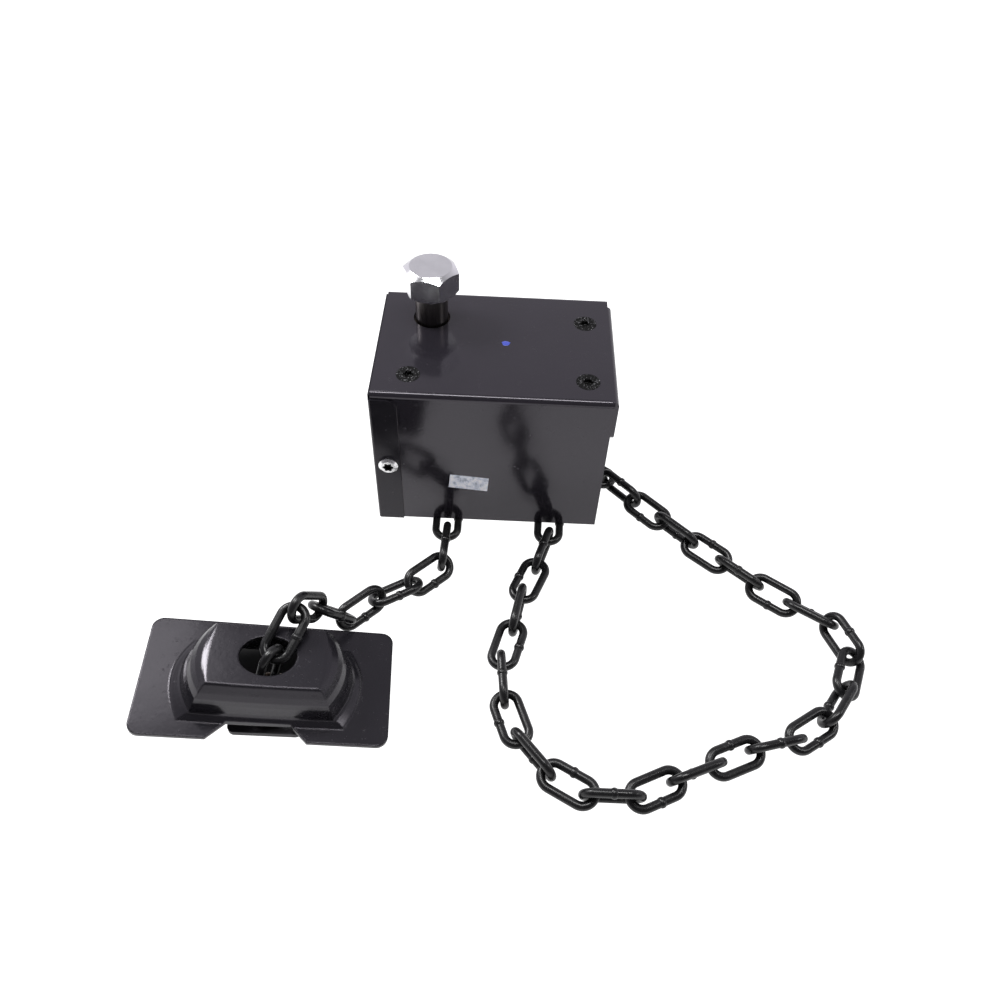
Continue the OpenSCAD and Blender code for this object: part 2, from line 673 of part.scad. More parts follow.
// the rear is steeper than the front
function rear(b) = 22 + (b - 22) * 0.4;
function outline(b, uc, ua, h) = concat(
  [for (i = [0:nb - 1]) [-uc + 2 * uc * i / nb, -b - 0.6 * (1 - pow(2 * i / nb - 1, 2)), h]],
  [for (i = [0:ns - 1]) let (t = -1 + 2 * i / ns) [side_u(uc, ua, t), (t < 0 ? b : rear(b)) * t, h]],
  [for (i = [0:nb - 1]) [uc - 2 * uc * i / nb, rear(b) + 0.6 * (1 - pow(2 * i / nb - 1, 2)), h]],
  [for (i = [0:ns - 1]) let (t = 1 - 2 * i / ns) [-side_u(uc, ua, t), (t < 0 ? b : rear(b)) * t, h]]);
function ring_outline(r, h) = [for (p = outline(22, 35, 41, 0)) let (a = atan2(p[1], p[0])) [r * cos(a), r * hole_flat * sin(a), h]];

// skin through closed rings of points, the last ring joined to the first
module ring_skin(rings) {
  n = len(rings[0]);
  k = len(rings);
  polyhedron([for (r = rings) each r],
    [for (i = [0:k - 1]) for (j = [0:n - 1]) let (a = i * n + j, b = i * n + (j + 1) % n,
      c = ((i + 1) % k) * n + (j + 1) % n, d = ((i + 1) % k) * n + j) each [[a, d, c], [a, c, b]]], convexity = 10);
}

module dome_skin() {
  t = plate_t;
  top = dome_h;
  ring_skin([
    outline(33, 53, 63, 0), outline(33, 53, 63, t), outline(31.8, 52, 62, 4.2), outline(30.4, 50, 60.4, 5.4),
    outline(29.4, 47.5, 58, 6.6), outline(28.9, 45.6, 56, 8.4), outline(28.7, 44.4, 54.6, 12),
    outline(28.3, 43, 53, 18), outline(27.6, 41.6, 51, 23), outline(25.8, 39.6, 48.4, top - 7),
    outline(24, 37.8, 45, top - 3.5), outline(22.9, 36.4, 41, top - 1.3), outline(22.3, 35.6, 38.4, top - 0.4),
    outline(21.6, 34.8, 36.6, top),
    ring_outline(dome_hole, top), ring_outline(dome_hole, top - t),
    outline(19.6, 32.6, 34.4, top - t), outline(20.6, 34, 38, top - 4.4), outline(22.4, 36, 42.6, top - 7.4),
    outline(24.2, 38, 46, 23), outline(25, 39.6, 48.4, 18), outline(25.4, 41, 50.4, 12),
    outline(25.8, 42, 52, 7), outline(26.6, 43.4, 53.6, 4), outline(28, 46, 56, 0)]);
}

module notch() {
  b = plate_w / 2;
  translate([0, 0, -1]) linear_extrude(12) polygon([[-22.6, -32.2], [18.6, -32.2], [30, -b], [31, -b - 2], [-35, -b - 2], [-34, -b]]);
}

module plate_flat() {
  r = 8;
  linear_extrude(plate_t) difference() {
    union() {
      square([plate_l, plate_w - 2 * r], center = true);
      square([plate_l - 2 * r, plate_w], center = true);
      for (x = [-1, 1], y = [-1, 1]) translate([x * (plate_l / 2 - r), y * (plate_w / 2 - r)]) circle(r = r, $fn = 40);
    }
    polygon([for (p = outline(30, 49.5, 59.5, 0)) [p[0], p[1]]]);
  }
}

module retaining_plate() {
  color([0.08, 0.08, 0.09]) translate(at(plate_at)) rotate([0, plate_tilt, plate_yaw]) difference() {
    union() {
      plate_flat();
      dome_skin();
    }
    notch();
  }
}

// ---- show

housing_shell();
right_wall();
left_cover();
cover_screw();
top_screws();
carrier_plate();
front_cheek();
middle_cheek();
back_cheek();
bearing_bridge();
upper_bush();
lower_bush();
axle_bushes();
tie_bolts();
weld_nuts();
chain_anchor();
anchor_pin();
input_shaft();
worm();
thrust_collar();
thrust_washer();
axle();
chain_wheel();
worm_wheel();
axle_keys();
spacer_sleeve();
axle_circlips();
wrapped_links();
load_strand_link();
slack_strand_link();
load_lift_link();
slack_lift_link();
load_link_9();
load_link_8();
load_link_7();
load_link_6();
load_link_5();
load_link_4();
load_link_3();
load_link_2();
load_link_1();
slack_chain_out();
slack_chain_bend();
slack_chain_back();
eye_bolt();
spring_seat();
buffer_spring();
retaining_plate();
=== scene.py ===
# %% [markdown]
# # A chain winch for a spare wheel
# The part is a folded sheet-steel box with a worm drive, a bright hex shaft on top, and
# one loop of welded chain. The short end of the chain carries a pressed retaining plate.
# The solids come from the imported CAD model, so this lesson adds what CAD leaves out:
# the finishes, the label, a paint mark, weld beads, and the studio around them.

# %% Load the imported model
import bpy
import bmesh
import json
import math
from mathutils import Matrix, Vector
import numpy as np


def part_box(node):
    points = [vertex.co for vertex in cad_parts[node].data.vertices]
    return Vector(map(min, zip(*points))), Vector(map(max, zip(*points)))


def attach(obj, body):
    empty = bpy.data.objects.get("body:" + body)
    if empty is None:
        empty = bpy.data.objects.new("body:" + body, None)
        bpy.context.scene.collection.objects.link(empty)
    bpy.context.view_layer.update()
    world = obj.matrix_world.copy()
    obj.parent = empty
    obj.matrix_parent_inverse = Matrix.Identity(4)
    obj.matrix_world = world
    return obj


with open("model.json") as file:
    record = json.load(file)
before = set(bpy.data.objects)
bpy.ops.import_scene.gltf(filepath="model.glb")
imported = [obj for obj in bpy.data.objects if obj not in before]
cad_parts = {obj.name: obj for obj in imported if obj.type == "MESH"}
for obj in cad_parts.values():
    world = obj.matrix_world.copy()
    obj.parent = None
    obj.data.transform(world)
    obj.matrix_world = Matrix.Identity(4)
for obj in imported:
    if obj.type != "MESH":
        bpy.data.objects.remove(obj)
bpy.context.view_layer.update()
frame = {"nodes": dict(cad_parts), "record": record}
nodes = frame["nodes"]

# %% [markdown]
# Places are read from the CAD nodes, never typed twice. The shell of the housing gives the
# front face, the top and the skirt, and the lowest point of the ground chain gives the floor.

# %% Where the housing stands
def box_of(name):
    low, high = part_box(name)
    return Vector(low), Vector(high)

MM = 0.001
shell_low, shell_high = box_of("housing_shell")
front_y = shell_low.y
top_z = shell_high.z
skirt_z = shell_low.z
floor_z = min(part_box(n)[0][2] for n in nodes)
print("front", round(front_y, 4), "top", round(top_z, 4))
print("skirt", round(skirt_z, 4), "floor", round(floor_z, 4))

# %% [markdown]
# ## The camera
# A Blender camera looks along its own -Z. The rotation is built from heading, downward
# tilt and a small roll, in the order a tripod head has them, and then turned so that the
# camera's -Z is the direction of view.

# %% Camera
def tripod(heading, tilt, roll):
    turn = (Matrix.Rotation(math.radians(heading), 3, "Z")
            @ Matrix.Rotation(math.radians(tilt), 3, "X")
            @ Matrix.Rotation(math.radians(roll), 3, "Y"))
    right, forward, up = turn.col[0], turn.col[1], turn.col[2]
    return Matrix((right, up, -forward)).transposed()

VIEW_ANGLE = 59.2
STANDS_AT = Vector((5.8 * MM, front_y - 448.7 * MM, skirt_z + 532.9 * MM))

camera_data = bpy.data.cameras.new("camera")
camera_data.sensor_width = 36
camera_data.sensor_fit = "HORIZONTAL"
camera_data.angle = math.radians(VIEW_ANGLE)
camera_data.clip_start = 0.01
camera_data.clip_end = 50
camera = bpy.data.objects.new("camera", camera_data)
bpy.context.scene.collection.objects.link(camera)
camera.matrix_world = Matrix.Translation(STANDS_AT) @ tripod(heading=-0.5, tilt=-48.6, roll=-2.9).to_4x4()
bpy.context.scene.camera = camera
bpy.context.scene.view_settings.view_transform = "Standard"
print("camera stands at", [round(c, 3) for c in camera.location])

# %% [markdown]
# ## Shader maths in plain Python
# A node tree is easier to read as an expression. `Val` wraps one socket and adds a Math
# node for each operator, also when a plain number stands on the left. `Finish` starts a
# material and makes every other node with one method.

# %% Val and Finish
class Val:
    def __init__(self, finish, socket):
        self.finish = finish
        self.socket = socket

    def math(self, operation, *others):
        return self.finish.node("ShaderNodeMath", {"operation": operation}, self, *others)

    def swapped(self, operation, other):
        return self.finish.node("ShaderNodeMath", {"operation": operation}, other, self)

    def __add__(self, other): return self.math("ADD", other)
    def __radd__(self, other): return self.math("ADD", other)
    def __sub__(self, other): return self.math("SUBTRACT", other)
    def __rsub__(self, other): return self.swapped("SUBTRACT", other)
    def __mul__(self, other): return self.math("MULTIPLY", other)
    def __rmul__(self, other): return self.math("MULTIPLY", other)
    def __truediv__(self, other): return self.math("DIVIDE", other)
    def __rtruediv__(self, other): return self.swapped("DIVIDE", other)
    def __pow__(self, other): return self.math("POWER", other)


class Finish:
    def __init__(self, name, **shader):
        self.material = bpy.data.materials.new(name)
        self.material.use_nodes = True
        self.tree = self.material.node_tree
        self.shader = self.tree.nodes["Principled BSDF"]
        self.place = self.node("ShaderNodeTexCoord", {}, out="Object")
        for key, value in shader.items():
            self.set(key.replace("_", " "), value)

    def node(self, kind, settings, *inputs, out=0, **named):
        made = self.tree.nodes.new(kind)
        for key, value in settings.items():
            if key == "stops":
                ramp = made.color_ramp
                while len(ramp.elements) < len(value):
                    ramp.elements.new(0.5)
                for element, (spot, colour) in zip(ramp.elements, value):
                    element.position = spot
                    element.color = (*colour, 1)
            else:
                setattr(made, key, value)
        for i, value in enumerate(inputs):
            self.feed(made.inputs[i], value)
        for key, value in named.items():
            self.feed(made.inputs[key.replace("_", " ")], value)
        return Val(self, made.outputs[out])

    def feed(self, socket, value):
        if isinstance(value, Val):
            self.tree.links.new(value.socket, socket)
        else:
            socket.default_value = value

    def set(self, key, value):
        self.feed(self.shader.inputs[key], value)

    def noise(self, scale, detail=3, roughness=0.5, stretch=None):
        where = self.place
        if stretch:
            where = self.node("ShaderNodeMapping", {}, where, Scale=stretch)
        return self.node("ShaderNodeTexNoise", {}, Vector=where,
                         Scale=scale, Detail=detail, Roughness=roughness)

    def ramp(self, value, *stops):
        return self.node("ShaderNodeValToRGB", {"stops": stops}, value)

    def span(self, value, low, high, to_low, to_high):
        return self.node("ShaderNodeMapRange", {"clamp": True}, value, low, high, to_low, to_high)

    def mix(self, factor, first, second):
        made = self.tree.nodes.new("ShaderNodeMix")
        made.data_type = "RGBA"
        self.feed(made.inputs[0], factor)
        for socket, value in ((made.inputs[6], first), (made.inputs[7], second)):
            self.feed(socket, value if isinstance(value, Val) else (*value, 1))
        return Val(self, made.outputs[2])

    def bump(self, height, strength, distance):
        raised = self.node("ShaderNodeBump", {}, Strength=strength, Distance=distance, Height=height)
        self.set("Normal", raised)


# %% [markdown]
# ## Gloss paint
# Sprayed paint is never flat: it dries with a fine orange peel, it is a little duller
# where dust has settled, and the colour shifts slightly. A noise of a few millimetres
# gives the peel to the bump, and two slow noises vary gloss and colour. On the pressed
# plate a Bevel node rounds the shading of the creases, as paint does that runs into them,
# and a very slow wave bends the reflections, because a pressing is never quite flat.

# %% Black gloss paint
def gloss_black(name, base, shine, peel, ior=1.5, round_off=0, wave=0):
    paint = Finish(name, IOR=ior, Specular_Tint=(1.0, 0.95, 1.04, 1))
    slow = paint.noise(9, 4, 0.6)
    dust = paint.noise(260, 2, 0.7)
    paint.set("Base Color", paint.mix(slow, [c * 0.75 for c in base], [c * 1.3 for c in base]))
    cloudy = paint.span(slow, 0.35, 0.65, shine * 0.8, shine * 1.3)
    paint.set("Roughness", cloudy + paint.span(dust, 0.62, 0.75, 0, 0.18))
    skin = paint.noise(430, 2, 0.4) + paint.noise(95, 1, 0.5) * 1.5
    if wave:
        skin = skin + paint.noise(16, 1, 0.4) * wave
    normal = {"Normal": paint.node("ShaderNodeBevel", {"samples": 6}, round_off)} if round_off else {}
    peeled = paint.node("ShaderNodeBump", {}, Strength=peel, Distance=0.0004, Height=skin, **normal)
    paint.set("Normal", peeled)
    return paint.material


housing_paint = gloss_black("housing_paint", (0.0150, 0.0135, 0.0175), 0.13, 0.05)
cover_paint = gloss_black("cover_paint", (0.0120, 0.0112, 0.0140), 0.16, 0.05, 1.33)
plate_paint = gloss_black("plate_paint", (0.0100, 0.0095, 0.0118), 0.17, 0.07, 1.45, 1.6 * MM, 22)
frame_paint = gloss_black("frame_paint", (0.012, 0.012, 0.013), 0.35, 0.1)

# %% [markdown]
# The screws in the top are sunk and blackened. Their near-black colour and weak sheen are
# partly the black coat and partly painted shade of a recess, and the spots of lighter metal
# here and there on the edges are partly wear and partly painted glints.

# %% Blackened screws with painted recess shade
def blackened_with_recess_shade():
    oxide = Finish("blackened_screw_recess_shade", IOR=1.4)
    rub = oxide.noise(800, 3, 0.7)
    wear_and_painted_glint = oxide.span(rub, 0.6, 0.66, 0, 1)
    # near-black base: black coat plus painted recess shade; lighter spots: wear plus painted glints
    oxide.set("Base Color", oxide.mix(wear_and_painted_glint, (0.003, 0.003, 0.003), (0.30, 0.30, 0.31)))
    oxide.set("Metallic", wear_and_painted_glint * 0.9)
    oxide.set("Roughness", oxide.span(rub, 0.3, 0.6, 0.75, 0.5))
    oxide.set("Specular IOR Level", 0.15)
    oxide.bump(rub, 0.4, 0.0004)
    return oxide.material


screw_black_and_recess_shade = blackened_with_recess_shade()

# %% [markdown]
# ## Chain
# The links are dipped, so the coat is thin and a little dull. It has worn through in small
# spots.

# %% Dipped chain
def dipped_chain():
    coat = Finish("dipped_chain", IOR=1.42)
    patch = coat.noise(70, 4, 0.65)
    fine = coat.noise(900, 3, 0.6)
    worn = coat.span(patch * fine, 0.36, 0.42, 0, 1)
    coat.set("Base Color", coat.mix(worn, (0.006, 0.006, 0.0065), (0.03, 0.028, 0.027)))
    coat.set("Roughness", coat.span(patch, 0.35, 0.7, 0.22, 0.4))
    coat.bump(fine + coat.noise(240, 2, 0.5) * 1.4, 0.12, 0.0004)
    return coat.material


chain_coat = dipped_chain()

# %% [markdown]
# ## Bright zinc and bare steel
# Plated steel mirrors the room, with a faint grain from rolling. The grain is one noise
# that is stretched along the part's own axis.

# %% Metals
def plated(name, colour, shine, grain, stretch):
    metal = Finish(name, Metallic=1.0)
    streak = metal.noise(420, 3, 0.6, stretch)
    cloud = metal.noise(55, 3, 0.55)
    metal.set("Base Color", metal.mix(cloud, [c * 0.86 for c in colour], colour))
    metal.set("Roughness", metal.span(cloud, 0.3, 0.7, shine * 0.75, shine * 1.25) + streak * 0.06)
    metal.bump(streak, grain, 0.0002)
    return metal.material


HEX_HEIGHT = 19.5 * MM

def drive_shaft():
    """The hex is bright, and below its lower face the shaft is painted dark, a painted reflection of the
    black housing top.
    """
    metal = Finish("drive_shaft", Metallic=1.0)
    height = metal.node("ShaderNodeSeparateXYZ", {}, metal.place, out=2)
    low, high = box_of("input_shaft")
    hex_foot = high.z - HEX_HEIGHT
    # below the hex the colour is painted dark: a painted reflection of the black housing top
    painted_dark_reflection = metal.span(height, hex_foot - 0.4 * MM, hex_foot, 1, 0)
    streak = metal.noise(520, 3, 0.6, (1, 1, 0.06))
    cloud = metal.noise(60, 4, 0.6)
    bright = metal.mix(cloud, (0.66, 0.66, 0.68), (0.84, 0.84, 0.86))
    dark = metal.mix(streak, (0.055, 0.05, 0.05), (0.20, 0.185, 0.18))
    metal.set("Base Color", metal.mix(painted_dark_reflection, bright, dark))
    metal.set("Roughness", metal.span(cloud, 0.3, 0.7, 0.16, 0.24) + painted_dark_reflection * 0.15)
    metal.bump(metal.noise(300, 4, 0.6) + streak * 0.5, 0.07, 0.0003)
    return metal.material


def recessed_zinc():
    """Zinc on the head of the cover screw; the six-lobe recess in its middle is painted black, as painted
    shade.
    """
    metal = Finish("cover_screw_zinc", Metallic=1.0)
    low, high = box_of("cover_screw")
    middle = (low + high) / 2
    off = metal.node("ShaderNodeVectorMath", {"operation": "SUBTRACT"}, metal.place, tuple(middle))
    flat = metal.node("ShaderNodeVectorMath", {"operation": "MULTIPLY"}, off, (1, 0, 1))
    reach = metal.node("ShaderNodeVectorMath", {"operation": "LENGTH"}, flat, out=1)
    depth = metal.node("ShaderNodeSeparateXYZ", {}, metal.place, out=1)
    deep = metal.span(depth, low.y + 6 * MM, low.y + 7 * MM, 1, 0)
    parts = metal.node("ShaderNodeSeparateXYZ", {}, flat)
    angle = metal.node("ShaderNodeSeparateXYZ", {}, flat, out=2).math("ARCTAN2", parts)
    lobes = (angle * 6).math("COSINE")
    painted_recess_shade = metal.span(reach - lobes * (0.55 * MM), 3.5 * MM, 3.8 * MM, 1, 0) * deep
    cloud = metal.noise(700, 3, 0.6)
    # the black in the six-lobe recess is painted shade, not the zinc's own colour
    metal.set("Base Color", metal.mix(painted_recess_shade, (0.84, 0.84, 0.85), (0.015, 0.015, 0.017)))
    metal.set("Roughness", metal.span(cloud, 0.3, 0.7, 0.16, 0.3) + painted_recess_shade * 0.3)
    metal.bump(cloud, 0.1, 0.0002)
    return metal.material


shaft_metal = drive_shaft()
screw_zinc = recessed_zinc()
turned_steel = plated("turned_steel", (0.58, 0.58, 0.6), 0.28, 0.15, (0.1, 1, 1))
cast_iron = plated("cast_iron_wheel", (0.3, 0.3, 0.31), 0.5, 0.5, (1, 1, 1))
bronze = plated("bearing_bronze", (0.7, 0.5, 0.27), 0.3, 0.2, (1, 1, 1))
spring_steel = plated("spring_steel", (0.10, 0.075, 0.06), 0.35, 0.2, (1, 1, 1))
# The upper bush round the shaft gets a dark bronze colour.
dark_bronze = plated("dark_bronze", (0.06, 0.05, 0.045), 0.45, 0.3, (1, 1, 1))

# %% [markdown]
# Every CAD node gets its finish by name. A node keeps its mesh and its place, and only the
# material slot changes.

# %% Finishes on the CAD nodes
finish_of = {
    "housing_shell": housing_paint, "right_wall": housing_paint, "left_cover": cover_paint,
    "retaining_plate": plate_paint, "top_screws": screw_black_and_recess_shade, "cover_screw": screw_zinc,
    "input_shaft": shaft_metal, "worm": turned_steel, "thrust_collar": turned_steel, "axle": turned_steel,
    "axle_keys": turned_steel, "spacer_sleeve": turned_steel, "tie_bolts": turned_steel,
    "weld_nuts": turned_steel, "anchor_pin": turned_steel, "eye_bolt": turned_steel,
    "axle_circlips": spring_steel, "buffer_spring": spring_steel,
    "chain_wheel": cast_iron, "worm_wheel": bronze, "upper_bush": dark_bronze, "lower_bush": bronze,
    "axle_bushes": bronze, "thrust_washer": bronze,
}
for name, thing in nodes.items():
    finish = finish_of.get(name) or (chain_coat if "link" in name or "slack" in name else frame_paint)
    thing.data.materials.clear()
    thing.data.materials.append(finish)
print("finished", len(nodes), "nodes")

# %% [markdown]
# ## Weld beads
# Every link is bent from wire and butt-welded in the middle of one long side, which
# leaves a small bead. The CAD has a plain collar there. The links come out of its mesh as
# separate islands, and the box of an island along its own three main axes gives its centre
# and its turn. The collar is the only thing halfway along a link, so it is easy to find.
# A set has no fixed order, so the points are sorted: each run then turns a bead the same way.

# %% Find the links
def islands(mesh):
    shape = bmesh.new()
    shape.from_mesh(mesh)
    bmesh.ops.remove_doubles(shape, verts=shape.verts, dist=2e-6)
    left = set(shape.verts)
    found = []
    while left:
        wave = [left.pop()]
        group = []
        while wave:
            vert = wave.pop()
            group.append(tuple(vert.co))
            for edge in vert.link_edges:
                other = edge.other_vert(vert)
                if other in left:
                    left.remove(other)
                    wave.append(other)
        found.append(np.array(sorted(group)))
    shape.free()
    return sorted(found, key=lambda points: tuple(points[0]))


COLLAR = 7 * MM

def bead_seat(points):
    spread = np.linalg.svd(points - points.mean(0), full_matrices=False)[2]
    along = points @ spread.T
    low, high = along.min(0), along.max(0)
    middle = (low + high) / 2
    # only the collar of the weld has corners halfway along the link
    collar = along[abs(along[:, 0] - middle[0]) < 2 * MM, 1].mean()
    middle[1] = high[1] - COLLAR / 2 if collar > middle[1] else low[1] + COLLAR / 2
    centre = spread.T @ middle
    length, width = Vector(spread[0]), Vector(spread[1])
    turn = Matrix((length, width, length.cross(width))).transposed().to_quaternion()
    return Vector(centre), turn


# %% [markdown]
# The bead is modelled once in Geometry Nodes and set on every seed point, which carries
# its own turn. The bead is a stretched sphere a little thicker than the wire, so it shows
# as a ring-shaped swelling. The instances are made real and get the chain's coat.
# The two hanging links pass close by the pocket wheel, so their beads are ground down
# below the collar, and there only the collar shows. The wrapped links have no bead.

# %% Bead nodes
def bead_nodes():
    tree = bpy.data.node_groups.new("weld_beads", "GeometryNodeTree")
    tree.interface.new_socket("Geometry", in_out="INPUT", socket_type="NodeSocketGeometry")
    long_socket = tree.interface.new_socket("Half length", in_out="INPUT", socket_type="NodeSocketFloat")
    thick_socket = tree.interface.new_socket("Thickness", in_out="INPUT", socket_type="NodeSocketFloat")
    tree.interface.new_socket("Geometry", in_out="OUTPUT", socket_type="NodeSocketGeometry")
    add = tree.nodes.new
    start, end = add("NodeGroupInput"), add("NodeGroupOutput")
    ball = add("GeometryNodeMeshUVSphere")
    ball.inputs["Segments"].default_value = 28
    ball.inputs["Rings"].default_value = 14
    ball.inputs["Radius"].default_value = 1
    size = add("ShaderNodeCombineXYZ")
    stretch = add("GeometryNodeTransform")
    wave = add("ShaderNodeTexNoise")
    wave.inputs["Scale"].default_value = 2.2
    centred = add("ShaderNodeVectorMath")
    centred.operation = "SUBTRACT"
    centred.inputs[1].default_value = (0.5, 0.5, 0.5)
    small = add("ShaderNodeVectorMath")
    small.operation = "SCALE"
    small.inputs["Scale"].default_value = 0.10
    uneven = add("GeometryNodeSetPosition")
    smooth = add("GeometryNodeSetShadeSmooth")
    turn = add("GeometryNodeInputNamedAttribute")
    turn.data_type = "QUATERNION"
    turn.inputs["Name"].default_value = "turn"
    seat = add("GeometryNodeInstanceOnPoints")
    real = add("GeometryNodeRealizeInstances")
    coat = add("GeometryNodeSetMaterial")
    coat.inputs["Material"].default_value = chain_coat
    link = tree.links.new
    link(start.outputs["Half length"], size.inputs["X"])
    link(start.outputs["Thickness"], size.inputs["Y"])
    link(start.outputs["Thickness"], size.inputs["Z"])
    link(ball.outputs["Mesh"], uneven.inputs["Geometry"])
    link(wave.outputs["Color"], centred.inputs[0])
    link(centred.outputs[0], small.inputs[0])
    link(small.outputs[0], uneven.inputs["Offset"])
    link(uneven.outputs["Geometry"], smooth.inputs["Geometry"])
    link(smooth.outputs["Geometry"], stretch.inputs["Geometry"])
    link(size.outputs[0], stretch.inputs["Scale"])
    link(start.outputs["Geometry"], seat.inputs["Points"])
    link(stretch.outputs["Geometry"], seat.inputs["Instance"])
    link(turn.outputs["Attribute"], seat.inputs["Rotation"])
    link(seat.outputs["Instances"], real.inputs["Geometry"])
    link(real.outputs["Geometry"], coat.inputs["Geometry"])
    link(coat.outputs["Geometry"], end.inputs[0])
    return tree, long_socket.identifier, thick_socket.identifier


bead_tree, bead_long, bead_thick = bead_nodes()
BEAD = 3.68 * MM
BEAD_HALF_LENGTH = 3.4 * MM
GROUND_BEAD = 3.3 * MM

def bead_piece(body, seats):
    mesh = bpy.data.meshes.new("seeds")
    mesh.from_pydata([tuple(place) for place, turn in seats], [], [])
    turns = mesh.attributes.new("turn", "QUATERNION", "POINT")
    for row, (place, turn) in zip(turns.data, seats):
        row.value = turn
    piece = bpy.data.objects.new("weld_beads_" + body, mesh)
    bpy.context.scene.collection.objects.link(piece)
    maker = piece.modifiers.new("beads", "NODES")
    maker.node_group = bead_tree
    maker[bead_long] = BEAD_HALF_LENGTH
    maker[bead_thick] = GROUND_BEAD if body.endswith("_strand") else BEAD
    bpy.context.view_layer.update()
    made = bpy.data.meshes.new_from_object(piece.evaluated_get(bpy.context.evaluated_depsgraph_get()))
    piece.modifiers.clear()
    piece.data = made
    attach(piece, body)
    return piece


# %% Beads on every free link
bead_count = 0
for body, names in frame["record"]["behaviour"]["bodies"].items():
    seats = []
    for name in names:
        if name == "wrapped_links" or not ("link" in name or "slack_chain" in name):
            continue
        seats += [bead_seat(points) for points in islands(nodes[name].data)]
    if seats:
        bead_piece(body, seats)
        bead_count += len(seats)
print("weld beads:", bead_count)

# %% [markdown]
# ## Label without print
# The label bears no print, only cloudy grey-blue patches. It is a thin vinyl patch that
# bends a little at one corner, so it is made as a grid that is pushed out from the front
# face, and Solidify gives it the thickness of film.

# %% Label on the front face
def new_piece(name, mesh, material, body):
    piece = bpy.data.objects.new(name, mesh)
    bpy.context.scene.collection.objects.link(piece)
    piece.data.materials.clear()
    piece.data.materials.append(material)
    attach(piece, body)
    return piece


def label_film():
    film = Finish("label_film", IOR=1.45)
    crease = film.noise(180, 4, 0.6, (1, 1, 2.2))
    shade = film.ramp(film.noise(190, 4, 0.7),
                      (0.36, (0.40, 0.44, 0.52)), (0.48, (0.72, 0.76, 0.86)), (0.6, (0.97, 0.97, 1.0)))
    film.set("Base Color", shade)
    film.set("Roughness", film.span(crease, 0.3, 0.7, 0.25, 0.5))
    film.bump(crease, 0.25, 0.0003)
    return film.material


def front_point(x, z, out):
    return Vector((x * MM, front_y - out * MM, skirt_z + z * MM))


def label():
    top_left, top_right = (-28.9, 50.8), (0.2, 48.3)
    low_left, low_right = (-30.1, 36.9), (-0.9, 34.0)
    mesh = bpy.data.meshes.new("label")
    shape = bmesh.new()
    across, down = 14, 8
    rows = []
    for j in range(down + 1):
        v = j / down
        row = []
        for i in range(across + 1):
            u = i / across
            x, z = ((top_left[k] * (1 - u) + top_right[k] * u) * (1 - v)
                    + (low_left[k] * (1 - u) + low_right[k] * u) * v for k in (0, 1))
            lift = 0.06 + 0.5 * max(0, u - 0.85) * max(0, 0.2 - v) * 20 * 0.3
            row.append(shape.verts.new(front_point(x, z, lift)))
        rows.append(row)
    for j in range(down):
        for i in range(across):
            shape.faces.new((rows[j][i], rows[j + 1][i], rows[j + 1][i + 1], rows[j][i + 1]))
    bmesh.ops.recalc_face_normals(shape, faces=shape.faces)
    shape.to_mesh(mesh)
    shape.free()
    piece = new_piece("label", mesh, label_film(), "housing")
    film = piece.modifiers.new("film", "SOLIDIFY")
    film.thickness = 0.0001
    film.offset = 0
    return piece


print("label faces:", len(label().data.polygons))

# %% [markdown]
# ## Paint mark
# The assembler touches a tested winch with a drop of blue paint. It is a shallow round
# drop with a soft rim and an uneven edge.

# %% Blue drop on the top
def paint_drop():
    enamel = Finish("blue_enamel", Base_Color=(0.05, 0.075, 0.42, 1), Roughness=0.3, IOR=1.5)
    enamel.bump(enamel.noise(500, 2, 0.5), 0.1, 0.0003)
    mesh = bpy.data.meshes.new("paint_drop")
    shape = bmesh.new()
    centre = Vector((8.4 * MM, front_y + 60.6 * MM, top_z + 0.01 * MM))
    radius, around = 3.0 * MM, 40
    rings = []
    for spread, rise in [(1, 0), (0.96, 0.12), (0.8, 0.22), (0.55, 0.28), (0.25, 0.3)]:
        ring = []
        for i in range(around):
            a = math.tau * i / around
            wobble = 1 + 0.07 * math.sin(3 * a + 0.6) + 0.05 * math.sin(5 * a)
            r = radius * spread * wobble
            ring.append(shape.verts.new(centre + Vector((r * math.cos(a), r * 0.9 * math.sin(a), rise * MM))))
        rings.append(ring)
    for lower, upper in zip(rings, rings[1:]):
        for i in range(around):
            shape.faces.new((lower[i], lower[(i + 1) % around], upper[(i + 1) % around], upper[i]))
    shape.faces.new(rings[-1])
    shape.faces.new(rings[0][::-1])
    for face in shape.faces:
        face.smooth = True
    shape.to_mesh(mesh)
    shape.free()
    return new_piece("paint_drop", mesh, enamel.material, "housing")


print("drop faces:", len(paint_drop().data.polygons))

# %% [markdown]
# ## Studio
# A glossy black thing shows mostly what stands around it. The floor is overexposed white,
# also for mirror rays, so the front face picks up a grey sheen from it.

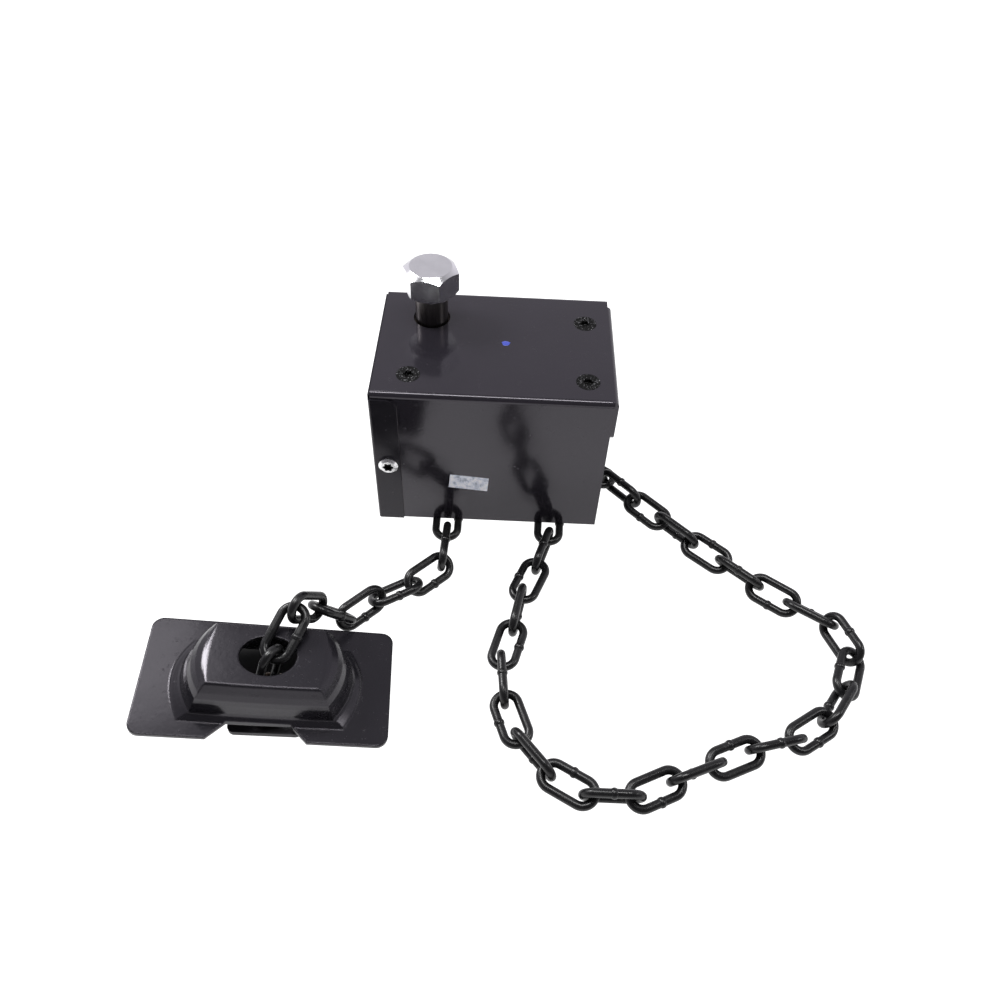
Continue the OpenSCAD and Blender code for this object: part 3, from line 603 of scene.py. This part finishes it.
# %% Floor
def studio_floor():
    white = Finish("studio_white", Roughness=0.9)
    glow = white.tree.nodes.new("ShaderNodeEmission")
    glow.inputs["Color"].default_value = (1, 1, 1, 1)
    glow.inputs["Strength"].default_value = 1.5
    path = white.tree.nodes.new("ShaderNodeLightPath")
    seen = Val(white, path.outputs["Is Camera Ray"])
    mirrored = Val(white, path.outputs["Is Glossy Ray"])
    through = Val(white, path.outputs["Is Transmission Ray"])
    # the glow would shine up through the dome's hole, so the floor below the dome is painted black, a painted
    # shadow;
    # this oval belongs to the stage and stays in place when the plate moves
    low, high = box_of("retaining_plate")
    below = ((low.x + high.x) / 2, (low.y + high.y) / 2 + 9 * MM, 0)
    off = white.node("ShaderNodeVectorMath", {"operation": "SUBTRACT"}, white.place, below)
    shrink = (1 / (56 * MM), 1 / (38 * MM), 0)
    oval = white.node("ShaderNodeVectorMath", {"operation": "MULTIPLY"}, off, shrink)
    reach = white.node("ShaderNodeVectorMath", {"operation": "LENGTH"}, oval, out=1)
    clear_of_painted_shadow = white.span(reach, 0.85, 1.0, 0, 1)
    # black inside the oval is a painted shadow under the dome; outside it the floor is plain white
    white.set("Base Color", white.mix(clear_of_painted_shadow, (0.01, 0.01, 0.01), (0.86, 0.86, 0.86)))
    blend = white.tree.nodes.new("ShaderNodeMixShader")
    white.feed(blend.inputs[0], (seen * 0.85 + mirrored * 0.42 + through * 0.6) * clear_of_painted_shadow)
    white.tree.links.new(white.shader.outputs[0], blend.inputs[1])
    white.tree.links.new(glow.outputs[0], blend.inputs[2])
    white.tree.links.new(blend.outputs[0], white.tree.nodes["Material Output"].inputs["Surface"])
    bpy.ops.mesh.primitive_plane_add(size=12, location=(0, 0, floor_z - 0.0002))
    floor = bpy.context.object
    floor.name = "studio_floor"
    floor.data.materials.append(white.material)
    return floor


studio_floor()

# %% [markdown]
# The room is bright low down and behind the part, where the white sweep rises, and dark
# above and on the camera's side. One soft box hangs overhead: the bends reflect it as thin
# bright lines, while no flat face mirrors it toward the camera.

# %% Room and lamps
def room():
    world = bpy.data.worlds.new("studio_room")
    world.use_nodes = True
    bpy.context.scene.world = world
    tree = world.node_tree
    sky = tree.nodes["Background"]
    sky.inputs["Strength"].default_value = 1.0
    where = tree.nodes.new("ShaderNodeTexCoord")
    split = tree.nodes.new("ShaderNodeSeparateXYZ")
    tree.links.new(where.outputs["Generated"], split.inputs[0])

    def stops(socket, *pairs):
        ramp = tree.nodes.new("ShaderNodeValToRGB")
        while len(ramp.color_ramp.elements) < len(pairs):
            ramp.color_ramp.elements.new(0.5)
        for element, (spot, grey) in zip(ramp.color_ramp.elements, pairs):
            element.position = spot
            element.color = (grey, grey * 0.985, grey * 1.02, 1)
        tree.links.new(socket, ramp.inputs[0])
        return ramp.outputs[0]

    up = stops(split.outputs["Z"], (0.0, 0.95), (0.3, 0.85), (0.6, 0.62), (0.78, 0.5), (1.0, 0.25))
    half = tree.nodes.new("ShaderNodeMath")
    half.operation = "MULTIPLY_ADD"
    half.inputs[1].default_value = 0.5
    half.inputs[2].default_value = 0.5
    tree.links.new(split.outputs["Y"], half.inputs[0])
    back = stops(half.outputs[0], (0.0, 0.18), (0.35, 0.35), (0.6, 1.0))
    both = tree.nodes.new("ShaderNodeMix")
    both.data_type = "RGBA"
    both.blend_type = "MULTIPLY"
    both.inputs[0].default_value = 1.0
    tree.links.new(up, both.inputs[6])
    tree.links.new(back, both.inputs[7])
    tree.links.new(both.outputs[2], sky.inputs["Color"])


def soft_box(name, at, aim, wide, high, watts):
    data = bpy.data.lights.new(name, "AREA")
    data.shape = "RECTANGLE"
    data.size = wide
    data.size_y = high
    data.energy = watts
    lamp = bpy.data.objects.new(name, data)
    bpy.context.scene.collection.objects.link(lamp)
    lamp.location = at
    lamp.rotation_euler = (Vector(aim) - Vector(at)).to_track_quat("-Z", "Y").to_euler()
    return lamp


room()
HOUSING, PLATE = (0, -0.15, 0), (-0.14, -0.27, -0.07)
soft_box("overhead_box", (0.0, -0.2, 1.5), HOUSING, 0.9, 0.35, 14)
soft_box("left_box", (-0.9, 0.3, 1.0), PLATE, 0.4, 0.4, 14)
soft_box("rear_box", (-0.42, 0.42, 1.22), PLATE, 0.42, 0.3, 1.3)
soft_box("right_box", (1.3, -0.3, 1.0), HOUSING, 0.3, 0.5, 4)
